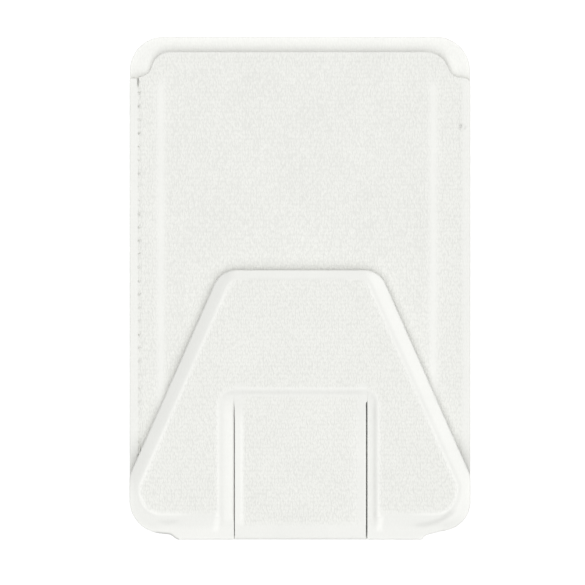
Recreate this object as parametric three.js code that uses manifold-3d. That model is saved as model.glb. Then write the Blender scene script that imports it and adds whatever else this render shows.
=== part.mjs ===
// Phone card holder with a fold-out stand.
// It lies on its back: +Z is the side that faces the viewer, +Y is the pocket's open end,
// and the origin is on the back face, at the centre of the outline. Millimetres.
import * as THREE from "three";
import { mergeVertices } from "three/addons/utils/BufferGeometryUtils.js";
import Module from "manifold-3d";

const wasm = await Module();
wasm.setup();

// ---------- outline ----------
const HALF_W = 33.0; // half the body's width
const TOP_Y = 48.75; // top edge of the back layers
const BODY_BOTTOM_Y = -47.2; // bottom edge of the body
const FOLD_BOTTOM_Y = -48.75; // outermost line of the rolled bottom edge
const CORNER_R = 6.6; // body corners

// pocket front: shoulders at its top corners
const POCKET_TOP_Y = 45.7;
const SHOULDER_Y = 40.9;
const SHOULDER_HALF = 25.4;

// ---------- layers, from the phone side outwards ----------
const BACK_PANEL_T = 0.6;
const BACK_BOARD_Z = 0.62;
const BACK_BOARD_T = 1.5;
const POCKET_BACK_Z = 2.14;
const POCKET_BACK_T = 0.4;
const POCKET_Z0 = 2.54; // card gap
const POCKET_Z1 = 3.44;
const FRONT_LINING_T = 0.2;
const FRONT_BOARD_Z = 3.66;
const FRONT_BOARD_T = 0.5;
const FRONT_MARGIN_Z = 4.36; // leather beside the board
const FRONT_TOP_Z = 4.78; // leather over the board
const FLAP_Z = 4.9; // underside of the closed stand
const FLAP_BACKING_T = 0.25;
const FLAP_BOARD_Z = 5.17;
const FLAP_BOARD_T = 0.9;
const FLAP_MARGIN_Z = 6.3; // leather beside the boards
const TOTAL_Z = 6.8; // leather over the boards

// ---------- magnets ----------
const RING_Y = 17.6; // ring centre
const RING_R_IN = 23.0;
const RING_R_OUT = 27.0;
const RING_COUNT = 16;
const MAGNET_T = 0.8;
const SHIELD_T = 0.25;
const BAR_W = 5.0;
const BAR_L = 15.0;
const BAR_Y = -20.0;

// ---------- card and front stiffener ----------
const BOARD_HALF = 26.4; // a card is 54 wide
const BOARD_TOP_Y = 43.0;
const BOARD_BOTTOM_Y = -42.6;
const WELT_W = 4.2;

// ---------- stand ----------
const FLAP_TOP_Y = 3.5;
const FLAP_TOP_HALF = 15.37; // where the slants would meet the top edge
const FLAP_KNEE_Y = -36.4; // where the slants meet the sides
const FLAP_TOP_R = 4.6;
const FLAP_BOTTOM_Y = -48.2;
const STEP_X = 23.4; // half-width of the rolled bottom edge
const SLIT_LEFT = -12.5;
const SLIT_RIGHT = 12.9;
const SLIT_HALF = 0.2;
const CREASE_Y = -20.2; // crease between tongue and stand
const CREASE_GAP = 0.2; // leather split either side of the crease
const CREASE_BOARD_GAP = 1.7; // boards stop this far from the crease
const FRAME_LEFT = -15.7; // inner edges of the U-shaped stiffener
const FRAME_RIGHT = 15.2;
const TONGUE_END_Y = -47.0; // where the tongue meets the rolled edge

// ---------- helpers ----------
// Corner list [x, y, radius] to a rounded outline.
function rounded(corners, steps = 6) {
  const out = [];
  const n = corners.length;
  for (let i = 0; i < n; i++) {
    const [x, y, r] = corners[i];
    const p = new THREE.Vector2(x, y);
    if (!r) {
      out.push(p);
      continue;
    }
    const a = new THREE.Vector2(...corners[(i + n - 1) % n].slice(0, 2)).sub(p).normalize();
    const b = new THREE.Vector2(...corners[(i + 1) % n].slice(0, 2)).sub(p).normalize();
    const half = Math.acos(THREE.MathUtils.clamp(a.dot(b), -1, 1)) / 2;
    const along = r / Math.tan(half);
    const centre = a.clone().add(b).normalize().multiplyScalar(r / Math.sin(half)).add(p);
    const s = a.clone().multiplyScalar(along).add(p).sub(centre);
    const e = b.clone().multiplyScalar(along).add(p).sub(centre);
    let turn = Math.atan2(s.x * e.y - s.y * e.x, s.dot(e));
    const count = Math.max(2, Math.round((steps * Math.abs(turn)) / (Math.PI / 2)));
    for (let k = 0; k <= count; k++) out.push(s.clone().rotateAround(new THREE.Vector2(), (turn * k) / count).add(centre));
  }
  return out;
}

function rectangle(x0, x1, y0, y1, r = 0, steps = 6) {
  return rounded([[x0, y0, r], [x1, y0, r], [x1, y1, r], [x0, y1, r]], steps);
}

// Plate of a given outline between two heights, with softly rounded rims where edge is given.
function plate(points, z0, z1, edge = 0, holes = []) {
  const shape = new THREE.Shape(points);
  for (const h of holes) shape.holes.push(new THREE.Path(h));
  const geometry = new THREE.ExtrudeGeometry(shape, {
    depth: z1 - z0 - 2 * edge,
    curveSegments: 1,
    bevelEnabled: edge > 0,
    bevelThickness: edge,
    bevelSize: edge,
    bevelOffset: -edge,
    bevelSegments: 2,
  });
  return geometry.translate(0, 0, z0 + edge);
}

// Section in the Y-Z plane, carried along X.
function along(points, x0, x1) {
  const geometry = new THREE.ExtrudeGeometry(new THREE.Shape(points), { depth: x1 - x0, bevelEnabled: false });
  geometry.applyMatrix4(new THREE.Matrix4().set(0, 0, 1, x0, 1, 0, 0, 0, 0, 1, 0, 0, 0, 0, 0, 1));
  return geometry;
}

function solid(geometry) {
  const g = (geometry.index ? geometry.toNonIndexed() : geometry).clone();
  g.deleteAttribute("normal");
  g.deleteAttribute("uv");
  const merged = mergeVertices(g, 1e-4);
  return new wasm.Manifold(
    new wasm.Mesh({
      numProp: 3,
      vertProperties: new Float32Array(merged.attributes.position.array),
      triVerts: new Uint32Array(merged.index.array),
    }),
  );
}

function geometryOf(manifold) {
  const mesh = manifold.getMesh();
  const v = new Float32Array(mesh.numVert * 3);
  for (let i = 0; i < mesh.numVert; i++) v.set(mesh.vertProperties.subarray(i * mesh.numProp, i * mesh.numProp + 3), i * 3);
  const g = new THREE.BufferGeometry();
  g.setAttribute("position", new THREE.BufferAttribute(v, 3));
  g.setIndex(new THREE.BufferAttribute(new Uint32Array(mesh.triVerts), 1));
  g.computeVertexNormals();
  return g;
}

function combine(base, { add = [], cut = [] } = {}) {
  let s = solid(base);
  for (const g of add) s = s.add(solid(g));
  for (const g of cut) s = s.subtract(solid(g));
  return geometryOf(s);
}

const leather = new THREE.MeshStandardMaterial({ color: 0xeeeee9, roughness: 0.62, metalness: 0 });
const lining = new THREE.MeshStandardMaterial({ color: 0xe9e8e2, roughness: 0.85, metalness: 0 });
const board = new THREE.MeshStandardMaterial({ color: 0xd9d4c8, roughness: 0.8, metalness: 0 });
const magnet = new THREE.MeshStandardMaterial({ color: 0xb8babd, roughness: 0.32, metalness: 1 });
const steel = new THREE.MeshStandardMaterial({ color: 0xa9abad, roughness: 0.4, metalness: 1 });
const thread = new THREE.MeshStandardMaterial({ color: 0xe6e5df, roughness: 0.9, metalness: 0 });

const holder = new THREE.Group();
function piece(group, name, geometry, material) {
  const mesh = new THREE.Mesh(geometry, material);
  mesh.name = name;
  group.add(mesh);
  return mesh;
}

// ---------- outlines ----------
const bodyOutline = (inset = 0, top = TOP_Y, r = CORNER_R) =>
  rectangle(-HALF_W + inset, HALF_W - inset, BODY_BOTTOM_Y + inset, top - inset, r - inset);

// Front leather: full width, with a hollowed shoulder at each top corner.
const frontOutline = (inset = 0) =>
  rounded([
    [-HALF_W + inset, BODY_BOTTOM_Y + inset, CORNER_R - inset],
    [HALF_W - inset, BODY_BOTTOM_Y + inset, CORNER_R - inset],
    [HALF_W - inset, SHOULDER_Y - inset, 0.5],
    [SHOULDER_HALF + 3.9 - inset, SHOULDER_Y - inset, 2.1],
    [SHOULDER_HALF + 2.3 - inset, POCKET_TOP_Y - inset, 3.0],
    [-SHOULDER_HALF - 2.3 + inset, POCKET_TOP_Y - inset, 3.0],
    [-SHOULDER_HALF - 3.9 + inset, SHOULDER_Y - inset, 2.1],
    [-HALF_W + inset, SHOULDER_Y - inset, 0.5],
  ]);

// Stand: a trapezoid that runs down into the body's own bottom corners.
const SLANT = (HALF_W - FLAP_TOP_HALF) / (FLAP_TOP_Y - FLAP_KNEE_Y);
const slantX = (y, inset) => FLAP_TOP_HALF + SLANT * (FLAP_TOP_Y - y) - inset * Math.sqrt(1 + SLANT * SLANT);
function standOutline() {
  return rounded([
    [-HALF_W, BODY_BOTTOM_Y, CORNER_R],
    [-STEP_X - 1.5, BODY_BOTTOM_Y, 0.7],
    [-STEP_X, FLAP_BOTTOM_Y, 0.7],
    [STEP_X, FLAP_BOTTOM_Y, 0.7],
    [STEP_X + 1.5, BODY_BOTTOM_Y, 0.7],
    [HALF_W, BODY_BOTTOM_Y, CORNER_R],
    [HALF_W, FLAP_KNEE_Y, 3.0],
    [FLAP_TOP_HALF, FLAP_TOP_Y, FLAP_TOP_R],
    [-FLAP_TOP_HALF, FLAP_TOP_Y, FLAP_TOP_R],
    [-HALF_W, FLAP_KNEE_Y, 3.0],
  ]);
}
// Raised field over the stand's stiffener.
const FIELD_TOP_Y = FLAP_TOP_Y - 1.8;
const FIELD_BOTTOM_Y = -44.3;
const FIELD_INSET = 2.5;
function fieldOutline(grow = 0) {
  const yTop = FIELD_TOP_Y + grow;
  const knee = -39.2;
  return rounded([
    [-31.2 - grow, FIELD_BOTTOM_Y - grow, 4.6 + grow],
    [31.2 + grow, FIELD_BOTTOM_Y - grow, 4.6 + grow],
    [slantX(knee, FIELD_INSET - grow), knee, 2.5],
    [slantX(yTop, FIELD_INSET - grow), yTop, 2.6 + grow],
    [-slantX(yTop, FIELD_INSET - grow), yTop, 2.6 + grow],
    [-slantX(knee, FIELD_INSET - grow), knee, 2.5],
  ]);
}
const slot = (left, right, top, r, z0, z1) => plate(rectangle(left, right, -60, top, r, 4), z0, z1);

// ---------- wallet ----------
const wallet = new THREE.Group();
holder.add(wallet);

// Back leather: a sheet whose edge is turned up around the stiff board.
const BOARD_INSET = 1.6;
const RIM_TOP_Z = BACK_BOARD_Z + BACK_BOARD_T;
piece(
  wallet,
  "back_panel",
  combine(plate(bodyOutline(), 0, RIM_TOP_Z, 0.3), { cut: [plate(bodyOutline(BOARD_INSET - 0.05), BACK_PANEL_T, RIM_TOP_Z + 1)] }),
  leather,
);
const channelTop = BACK_BOARD_Z + MAGNET_T + SHIELD_T + 0.1;
function annulus(rIn, rOut, z0, z1, steps = 48) {
  const g = new THREE.LatheGeometry(
    [new THREE.Vector2(rIn, z0), new THREE.Vector2(rOut, z0), new THREE.Vector2(rOut, z1), new THREE.Vector2(rIn, z1), new THREE.Vector2(rIn, z0)],
    steps,
  );
  return g.rotateX(Math.PI / 2).translate(0, RING_Y, 0); // the lathe turns about Y
}
piece(
  wallet,
  "back_board",
  combine(plate(bodyOutline(BOARD_INSET), BACK_BOARD_Z, BACK_BOARD_Z + BACK_BOARD_T), {
    cut: [
      annulus(RING_R_IN - 0.3, RING_R_OUT + 0.3, BACK_BOARD_Z - 0.3, channelTop, 40),
      plate(rectangle(-BAR_W / 2 - 0.3, BAR_W / 2 + 0.3, BAR_Y - BAR_L / 2 - 0.3, BAR_Y + BAR_L / 2 + 0.3, 0.8, 3), BACK_BOARD_Z - 0.3, channelTop),
    ],
  }),
  board,
);

const ring = new THREE.Group();
ring.position.set(0, RING_Y, 0);
wallet.add(ring);
const pitch = (2 * Math.PI) / RING_COUNT;
for (let i = 0; i < RING_COUNT; i++) {
  const half = pitch / 2 - 0.012;
  const shape = [];
  for (let k = 0; k <= 3; k++) {
    const t = -half + (2 * half * k) / 3;
    shape.push(new THREE.Vector2(RING_R_OUT * Math.cos(t), RING_R_OUT * Math.sin(t)));
  }
  for (let k = 3; k >= 0; k--) {
    const t = -half + (2 * half * k) / 3;
    shape.push(new THREE.Vector2(RING_R_IN * Math.cos(t), RING_R_IN * Math.sin(t)));
  }
  const m = piece(ring, `ring_magnet_${String(i + 1).padStart(2, "0")}`, plate(shape, BACK_BOARD_Z + 0.02, BACK_BOARD_Z + MAGNET_T), magnet);
  m.rotation.z = Math.PI / 2 + pitch * (i + 0.5);
}
piece(
  wallet,
  "ring_shield",
  annulus(RING_R_IN + 0.1, RING_R_OUT - 0.1, BACK_BOARD_Z + MAGNET_T + 0.02, BACK_BOARD_Z + MAGNET_T + SHIELD_T, 48),
  steel,
);
piece(
  wallet,
  "alignment_magnet",
  plate(rectangle(-BAR_W / 2, BAR_W / 2, BAR_Y - BAR_L / 2, BAR_Y + BAR_L / 2, 0.5, 3), BACK_BOARD_Z + 0.02, BACK_BOARD_Z + MAGNET_T),
  magnet,
);

piece(wallet, "pocket_back", plate(bodyOutline(0), POCKET_BACK_Z, POCKET_BACK_Z + POCKET_BACK_T, 0.12), leather);

// Filler strips that hold the pocket open by a card's thickness.
const WELT_Z0 = POCKET_Z0 + 0.02;
const WELT_Z1 = POCKET_Z1 - 0.02;
const weltTop = SHOULDER_Y - 0.1;
for (const [name, s] of [["welt_left", -1], ["welt_right", 1]]) {
  const x0 = s * (HALF_W - 0.08), x1 = s * (HALF_W - WELT_W);
  piece(wallet, name, plate(rectangle(Math.min(x0, x1), Math.max(x0, x1), BODY_BOTTOM_Y + 7.5, weltTop, 0.4, 2), WELT_Z0, WELT_Z1), leather);
}
piece(
  wallet,
  "welt_bottom",
  plate(
    rounded([
      [-HALF_W + 0.08, BODY_BOTTOM_Y + 0.08, CORNER_R - 0.08],
      [HALF_W - 0.08, BODY_BOTTOM_Y + 0.08, CORNER_R - 0.08],
      [HALF_W - 0.08, BODY_BOTTOM_Y + 7.4, 0.3],
      [HALF_W - WELT_W, BODY_BOTTOM_Y + 7.4, 0.4],
      [HALF_W - WELT_W - 2.2, BODY_BOTTOM_Y + 4.0, 1.2],
      [-HALF_W + WELT_W + 2.2, BODY_BOTTOM_Y + 4.0, 1.2],
      [-HALF_W + WELT_W, BODY_BOTTOM_Y + 7.4, 0.4],
      [-HALF_W + 0.08, BODY_BOTTOM_Y + 7.4, 0.3],
    ], 4),
    WELT_Z0,
    WELT_Z1,
  ),
  leather,
);

piece(wallet, "front_lining", plate(frontOutline(0.25), POCKET_Z1, POCKET_Z1 + FRONT_LINING_T), lining);

// Front stiffener, with a window for the steel plate that the stand's magnets meet.
const KEEPER = { x: 20, y0: -3.2, y1: 1.6 };
const boardOutline = (grow = 0) => rectangle(-BOARD_HALF - grow, BOARD_HALF + grow, BOARD_BOTTOM_Y - grow, BOARD_TOP_Y + grow, 4.0 + grow, 5);
piece(
  wallet,
  "front_board",
  plate(boardOutline(), FRONT_BOARD_Z, FRONT_BOARD_Z + FRONT_BOARD_T, 0, [
    rectangle(-KEEPER.x / 2 - 0.2, KEEPER.x / 2 + 0.2, KEEPER.y0 - 0.2, KEEPER.y1 + 0.2, 0.7, 2).reverse(),
  ]),
  board,
);
piece(wallet, "keeper_plate", plate(rectangle(-KEEPER.x / 2, KEEPER.x / 2, KEEPER.y0, KEEPER.y1, 0.5, 2), FRONT_BOARD_Z, FRONT_BOARD_Z + FRONT_BOARD_T), steel);

// Front leather: lower at the margins, raised over the stiffener, with the sewn line pressed in at the left.
const SEAM_X = -31.2;
const SEAM_Y0 = -38.5, SEAM_Y1 = 40.0;
piece(
  wallet,
  "front_panel",
  combine(plate(frontOutline(), FRONT_BOARD_Z, FRONT_MARGIN_Z, 0.18), {
    add: [plate(boardOutline(0.45), FRONT_MARGIN_Z - 0.2, FRONT_TOP_Z)],
    cut: [
      plate(boardOutline(0.04), FRONT_BOARD_Z - 1, FRONT_BOARD_Z + FRONT_BOARD_T + 0.02),
      plate(rectangle(SEAM_X - 0.3, SEAM_X + 0.3, SEAM_Y0 - 0.3, SEAM_Y1 + 0.3, 0.29, 2), FRONT_MARGIN_Z - 0.28, FRONT_MARGIN_Z + 1),
    ],
  }),
  leather,
);
piece(wallet, "seam_thread", plate(rectangle(SEAM_X - 0.16, SEAM_X + 0.16, SEAM_Y0, SEAM_Y1, 0.15, 2), FRONT_MARGIN_Z - 0.26, FRONT_MARGIN_Z - 0.02), thread);

// Rolled bottom edge: a doubled leather band along the bottom, rounded outwards.
const SPINE_TOP_Z = 4.62;
const SPINE_IN_Y = BODY_BOTTOM_Y - 0.02;
piece(
  wallet,
  "fold_spine",
  along(
    rounded([
      [SPINE_IN_Y, 0.0, 0],
      [SPINE_IN_Y, SPINE_TOP_Z, 0],
      [FOLD_BOTTOM_Y, SPINE_TOP_Z, 0.35],
      [FOLD_BOTTOM_Y, 0.0, 1.4],
    ].reverse(), 6),
    -STEP_X,
    STEP_X,
  ),
  leather,
);
// The tongue's leather where it rounds the edge.
piece(
  wallet,
  "fold_leather",
  along(
    rounded([
      [SPINE_IN_Y, SPINE_TOP_Z + 0.02, 0],
      [SPINE_IN_Y, TOTAL_Z - 0.06, 0],
      [FOLD_BOTTOM_Y + 0.25, TOTAL_Z - 0.06, 1.0],
      [FOLD_BOTTOM_Y + 0.25, SPINE_TOP_Z + 0.02, 0],
    ].reverse(), 8),
    SLIT_LEFT + SLIT_HALF,
    SLIT_RIGHT - SLIT_HALF,
  ),
  leather,
);

// ---------- strut: the tongue ----------
const strut = new THREE.Group();
holder.add(strut);
const tongueL = SLIT_LEFT + SLIT_HALF, tongueR = SLIT_RIGHT - SLIT_HALF;
const strutBoardOutline = (grow = 0) => rectangle(-11.0 - grow, 10.7 + grow, -45.6 - grow, CREASE_Y - CREASE_BOARD_GAP + grow, 0.8, 2);
piece(strut, "strut_backing", plate(rectangle(tongueL + 0.1, tongueR - 0.1, TONGUE_END_Y + 0.4, CREASE_Y - CREASE_BOARD_GAP, 0.5, 2), FLAP_Z, FLAP_Z + FLAP_BACKING_T), lining);
piece(strut, "strut_board", plate(strutBoardOutline(), FLAP_BOARD_Z, FLAP_BOARD_Z + FLAP_BOARD_T), board);
piece(
  strut,
  "strut_leather",
  combine(plate(rectangle(tongueL, tongueR, TONGUE_END_Y, CREASE_Y - CREASE_GAP, 0), FLAP_BOARD_Z, FLAP_MARGIN_Z + 0.2), {
    add: [plate(strutBoardOutline(0.5), FLAP_MARGIN_Z, TOTAL_Z)],
    cut: [
      plate(strutBoardOutline(0.04), FLAP_BOARD_Z - 1, FLAP_BOARD_Z + FLAP_BOARD_T + 0.02),
      // thin leather only beside the crease
      plate(rectangle(tongueL - 1, tongueR + 1, CREASE_Y - CREASE_BOARD_GAP + 0.04, CREASE_Y + 1), FLAP_BOARD_Z - 1, FLAP_BOARD_Z + FLAP_BOARD_T + 0.02),
    ],
  }),
  leather,
);

// ---------- stand: the trapezoid around it ----------
const stand = new THREE.Group();
holder.add(stand);
const slitL = SLIT_LEFT - SLIT_HALF, slitR = SLIT_RIGHT + SLIT_HALF;
const MAGNETS = [["flap_magnet_left", -6.2], ["flap_magnet_right", 6.2]];
const magnetOutline = (x, grow = 0) => rectangle(x - 3.0 - grow, x + 3.0 + grow, -2.6 - grow, 1.0 + grow, 0.4 + grow, 2);
piece(
  stand,
  "stand_backing",
  combine(plate(standOutline(), FLAP_Z, FLAP_Z + FLAP_BACKING_T), { cut: [slot(slitL - 0.1, slitR + 0.1, CREASE_Y + CREASE_BOARD_GAP, 0.3, FLAP_Z - 1, FLAP_Z + 2)] }),
  lining,
);
const frameSlot = (grow) => slot(FRAME_LEFT - grow, FRAME_RIGHT + grow, CREASE_Y + CREASE_BOARD_GAP + grow, 0.01, FLAP_Z - 2, TOTAL_Z + 1);
piece(
  stand,
  "stand_board",
  combine(plate(fieldOutline(), FLAP_BOARD_Z, FLAP_BOARD_Z + FLAP_BOARD_T), {
    cut: [frameSlot(0), ...MAGNETS.map(([, x]) => plate(magnetOutline(x, 0.2), FLAP_BOARD_Z - 1, FLAP_BOARD_Z + 2))],
  }),
  board,
);
for (const [name, x] of MAGNETS) piece(stand, name, plate(magnetOutline(x), FLAP_BOARD_Z, FLAP_BOARD_Z + FLAP_BOARD_T), magnet);
// Leather: a low rim around a raised field, and the room for the stiffener below the field.
const field = solid(plate(fieldOutline(0.5), FLAP_MARGIN_Z - 0.2, TOTAL_Z)).subtract(solid(frameSlot(-0.5)));
const room = solid(plate(fieldOutline(0.04), FLAP_BOARD_Z - 1, FLAP_BOARD_Z + FLAP_BOARD_T + 0.02)).subtract(solid(frameSlot(-0.04)));
const creaseRoom = solid(plate(rectangle(slitL, slitR, CREASE_Y - 1, CREASE_Y + CREASE_BOARD_GAP + 0.2), FLAP_BOARD_Z - 1, FLAP_BOARD_Z + FLAP_BOARD_T + 0.02));
const standLeather = solid(plate(standOutline(), FLAP_BOARD_Z, FLAP_MARGIN_Z, 0.2))
  .add(field)
  .subtract(room)
  .subtract(creaseRoom)
  .subtract(solid(slot(slitL, slitR, CREASE_Y + CREASE_GAP, 0.01, FLAP_Z - 1, TOTAL_Z + 1)));
piece(stand, "stand_leather", geometryOf(standLeather), leather);

export default holder;
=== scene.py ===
import math

import bpy
import numpy as np
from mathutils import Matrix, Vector
from mathutils.geometry import delaunay_2d_cdt


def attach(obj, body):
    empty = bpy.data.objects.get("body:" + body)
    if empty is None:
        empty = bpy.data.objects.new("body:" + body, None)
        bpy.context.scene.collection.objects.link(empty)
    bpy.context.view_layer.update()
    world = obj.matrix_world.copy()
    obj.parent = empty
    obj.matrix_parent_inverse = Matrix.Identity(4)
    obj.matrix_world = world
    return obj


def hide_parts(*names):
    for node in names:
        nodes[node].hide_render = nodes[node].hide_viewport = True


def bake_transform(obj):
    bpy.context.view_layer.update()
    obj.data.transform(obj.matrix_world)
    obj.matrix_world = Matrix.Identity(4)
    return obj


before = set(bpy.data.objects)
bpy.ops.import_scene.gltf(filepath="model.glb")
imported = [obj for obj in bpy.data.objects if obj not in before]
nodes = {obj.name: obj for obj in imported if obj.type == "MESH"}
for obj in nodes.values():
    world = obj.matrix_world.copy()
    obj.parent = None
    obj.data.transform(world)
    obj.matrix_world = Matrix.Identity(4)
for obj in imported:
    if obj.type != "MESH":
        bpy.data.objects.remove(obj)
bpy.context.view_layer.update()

MM = 0.001

# All shapes below are written in millimetres and turned into metres when a mesh is made.

# ------------------------------------------------------------------ dimensions
HALF_W, TOP_Y, BODY_BOTTOM = 33.0, 48.75, -47.2
FOLD_BOTTOM = -48.75
FRONT_Z0, FRONT_MARGIN, FRONT_TOP = 3.66, 4.36, 4.78
FLAP_Z0, FLAP_TOP_Z = 5.17, 6.8
SLOT_L, SLOT_R = -12.77, 13.03      # edges of the slot in the stand
TONGUE_L, TONGUE_R = -12.62, 12.75  # edges of the tongue
CREASE_Y = -20.2
SLOT_TOP = -18.5                    # the crease leather joins the stand here
TONGUE_SPLIT = -33.6
SEAM_X = -31.1
STITCH = 2.6
STITCH_YS = [-37.6 + STITCH * i for i in range(30)]


# ------------------------------------------------------------------ plane geometry
def rounded(corners, deg=4.0):
    """Corner list (x, y, radius) to a closed outline: arcs in short steps, straights as single edges."""
    out = []
    n = len(corners)
    for i, (x, y, r) in enumerate(corners):
        p = np.array([x, y], float)
        if r <= 0:
            out.append(p)
            continue
        a = np.array(corners[i - 1][:2], float) - p
        b = np.array(corners[(i + 1) % n][:2], float) - p
        a /= np.linalg.norm(a)
        b /= np.linalg.norm(b)
        half = math.acos(max(-1.0, min(1.0, float(a @ b)))) / 2
        mid = a + b
        mid /= np.linalg.norm(mid)
        c = p + mid * r / math.sin(half)
        s = p + a * r / math.tan(half) - c
        e = p + b * r / math.tan(half) - c
        turn = math.atan2(s[0] * e[1] - s[1] * e[0], float(s @ e))
        k = max(3, int(abs(math.degrees(turn)) / deg))
        for j in range(k + 1):
            t = turn * j / k
            out.append(c + np.array([s[0] * math.cos(t) - s[1] * math.sin(t), s[0] * math.sin(t) + s[1] * math.cos(t)]))
    return np.array(out)


def dense(poly, step, closed=True):
    pts = []
    m = len(poly) if closed else len(poly) - 1
    for i in range(m):
        a, b = poly[i], poly[(i + 1) % len(poly)]
        k = max(1, int(math.ceil(np.linalg.norm(b - a) / step)))
        for j in range(k):
            pts.append(a + (b - a) * j / k)
    if not closed:
        pts.append(poly[-1])
    return np.array(pts)


def distance(P, poly, closed=True):
    A = poly if closed else poly[:-1]
    B = np.roll(poly, -1, axis=0) if closed else poly[1:]
    out = np.full(len(P), 1e9)
    for a, b in zip(A, B):
        d = b - a
        L = float(d @ d)
        if L < 1e-12:
            continue
        t = np.clip(((P - a) @ d) / L, 0, 1)
        q = P - a - t[:, None] * d
        out = np.minimum(out, q[:, 0] ** 2 + q[:, 1] ** 2)
    return np.sqrt(out)


def inside(P, poly):
    hit = np.zeros(len(P), bool)
    x, y = P[:, 0], P[:, 1]
    B = np.roll(poly, -1, axis=0)
    for a, b in zip(poly, B):
        if a[1] == b[1]:
            continue
        cross = (a[1] > y) != (b[1] > y)
        hit ^= cross & (x < (b[0] - a[0]) * (y - a[1]) / (b[1] - a[1]) + a[0])
    return hit


def signed(P, poly):
    """Distance to a closed outline, positive inside."""
    d = distance(P, poly)
    return np.where(inside(P, poly), d, -d)


def smooth(a, b, x):
    t = np.clip((x - a) / (b - a), 0, 1)
    return t * t * (3 - 2 * t)


def bell(x, c, w):
    return np.exp(-(((x - c) / w) ** 2))


def noise2(P, scale, seed, octaves=3):
    """Smooth value noise in the plane, seeded."""
    out = np.zeros(len(P))
    amp, tot = 1.0, 0.0
    for o in range(octaves):
        rng = np.random.RandomState(seed + o * 17)
        table = rng.rand(64, 64)
        q = P / scale * (2 ** o) + 31.7
        i = np.floor(q).astype(int)
        f = q - i
        f = f * f * (3 - 2 * f)
        i0, j0 = i[:, 0] % 64, i[:, 1] % 64
        i1, j1 = (i0 + 1) % 64, (j0 + 1) % 64
        v = (table[i0, j0] * (1 - f[:, 0]) * (1 - f[:, 1]) + table[i1, j0] * f[:, 0] * (1 - f[:, 1])
             + table[i0, j1] * (1 - f[:, 0]) * f[:, 1] + table[i1, j1] * f[:, 0] * f[:, 1])
        out += amp * (v - 0.5)
        tot += amp
        amp *= 0.5
    return out / tot


# ------------------------------------------------------------------ meshes
def make_object(name, verts, faces, attrs=None, sharp=38.0):
    mesh = bpy.data.meshes.new(name)
    mesh.from_pydata([tuple(v) for v in (np.asarray(verts) * MM)], [], faces)
    mesh.validate()
    mesh.update()
    co = np.zeros(len(mesh.vertices) * 3, np.float32)
    mesh.vertices.foreach_get("co", co)
    rest = mesh.attributes.new("rest_mm", "FLOAT_VECTOR", "POINT")
    rest.data.foreach_set("vector", (co * 1000).astype(np.float32))
    for key in ("polish", "painted_highlight", "shade"):
        at = mesh.attributes.new(key, "FLOAT", "POINT")
        values = np.zeros(len(mesh.vertices), np.float32)
        if attrs and key in attrs and len(attrs[key]) == len(values):
            values = np.asarray(attrs[key], np.float32)
        at.data.foreach_set("value", values)
    mesh.shade_smooth()
    mesh.set_sharp_from_angle(angle=math.radians(sharp))
    obj = bpy.data.objects.new(name, mesh)
    bpy.context.scene.collection.objects.link(obj)
    return obj


def loop_normals(loop):
    t = np.roll(loop, -1, axis=0) - np.roll(loop, 1, axis=0)
    t /= np.maximum(np.linalg.norm(t, axis=1), 1e-9)[:, None]
    return np.stack([-t[:, 1], t[:, 0]], axis=1)  # inward where the loop runs anticlockwise


def thin(points, taken, gap):
    """The points further than gap from those already taken, each cell of the gap's size keeping one."""
    cell = gap
    used = {}
    for p in taken:
        used.setdefault((int(math.floor(p[0] / cell)), int(math.floor(p[1] / cell))), []).append(p)
    keep = []
    g2 = gap * gap
    for p in points:
        i, j = int(math.floor(p[0] / cell)), int(math.floor(p[1] / cell))
        ok = True
        for a in (i - 1, i, i + 1):
            for b in (j - 1, j, j + 1):
                for q in used.get((a, b), ()):
                    if (q[0] - p[0]) ** 2 + (q[1] - p[1]) ** 2 < g2:
                        ok = False
                        break
                if not ok:
                    break
            if not ok:
                break
        if ok:
            keep.append(p)
            used.setdefault((i, j), []).append(p)
    return np.array(keep).reshape(-1, 2)


def triangulate(P, poly, n_loop):
    loop = list(range(n_loop))
    edges = [(i, (i + 1) % n_loop) for i in loop]
    res = delaunay_2d_cdt([Vector((float(p[0]), float(p[1]))) for p in P], edges, [], 0, 1e-7, True)
    verts, faces, orig = res[0], res[2], res[3]
    V = np.array([[v.x, v.y] for v in verts])
    F = np.array([f for f in faces if len(f) == 3], int)
    back = [o[0] if o else -1 for o in orig]
    c = (V[F[:, 0]] + V[F[:, 1]] + V[F[:, 2]]) / 3
    F = F[inside(c, poly)]
    # back to the caller's own order of points
    back = np.array(back)
    F = back[F]
    F = F[(F >= 0).all(axis=1)]
    a, b, c3 = P[F[:, 0]], P[F[:, 1]], P[F[:, 2]]
    area = (b[:, 0] - a[:, 0]) * (c3[:, 1] - a[:, 1]) - (b[:, 1] - a[:, 1]) * (c3[:, 0] - a[:, 0])
    flip = area < 0
    F[flip] = F[flip][:, ::-1]
    return F[np.abs(area) > 1e-10]


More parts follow.
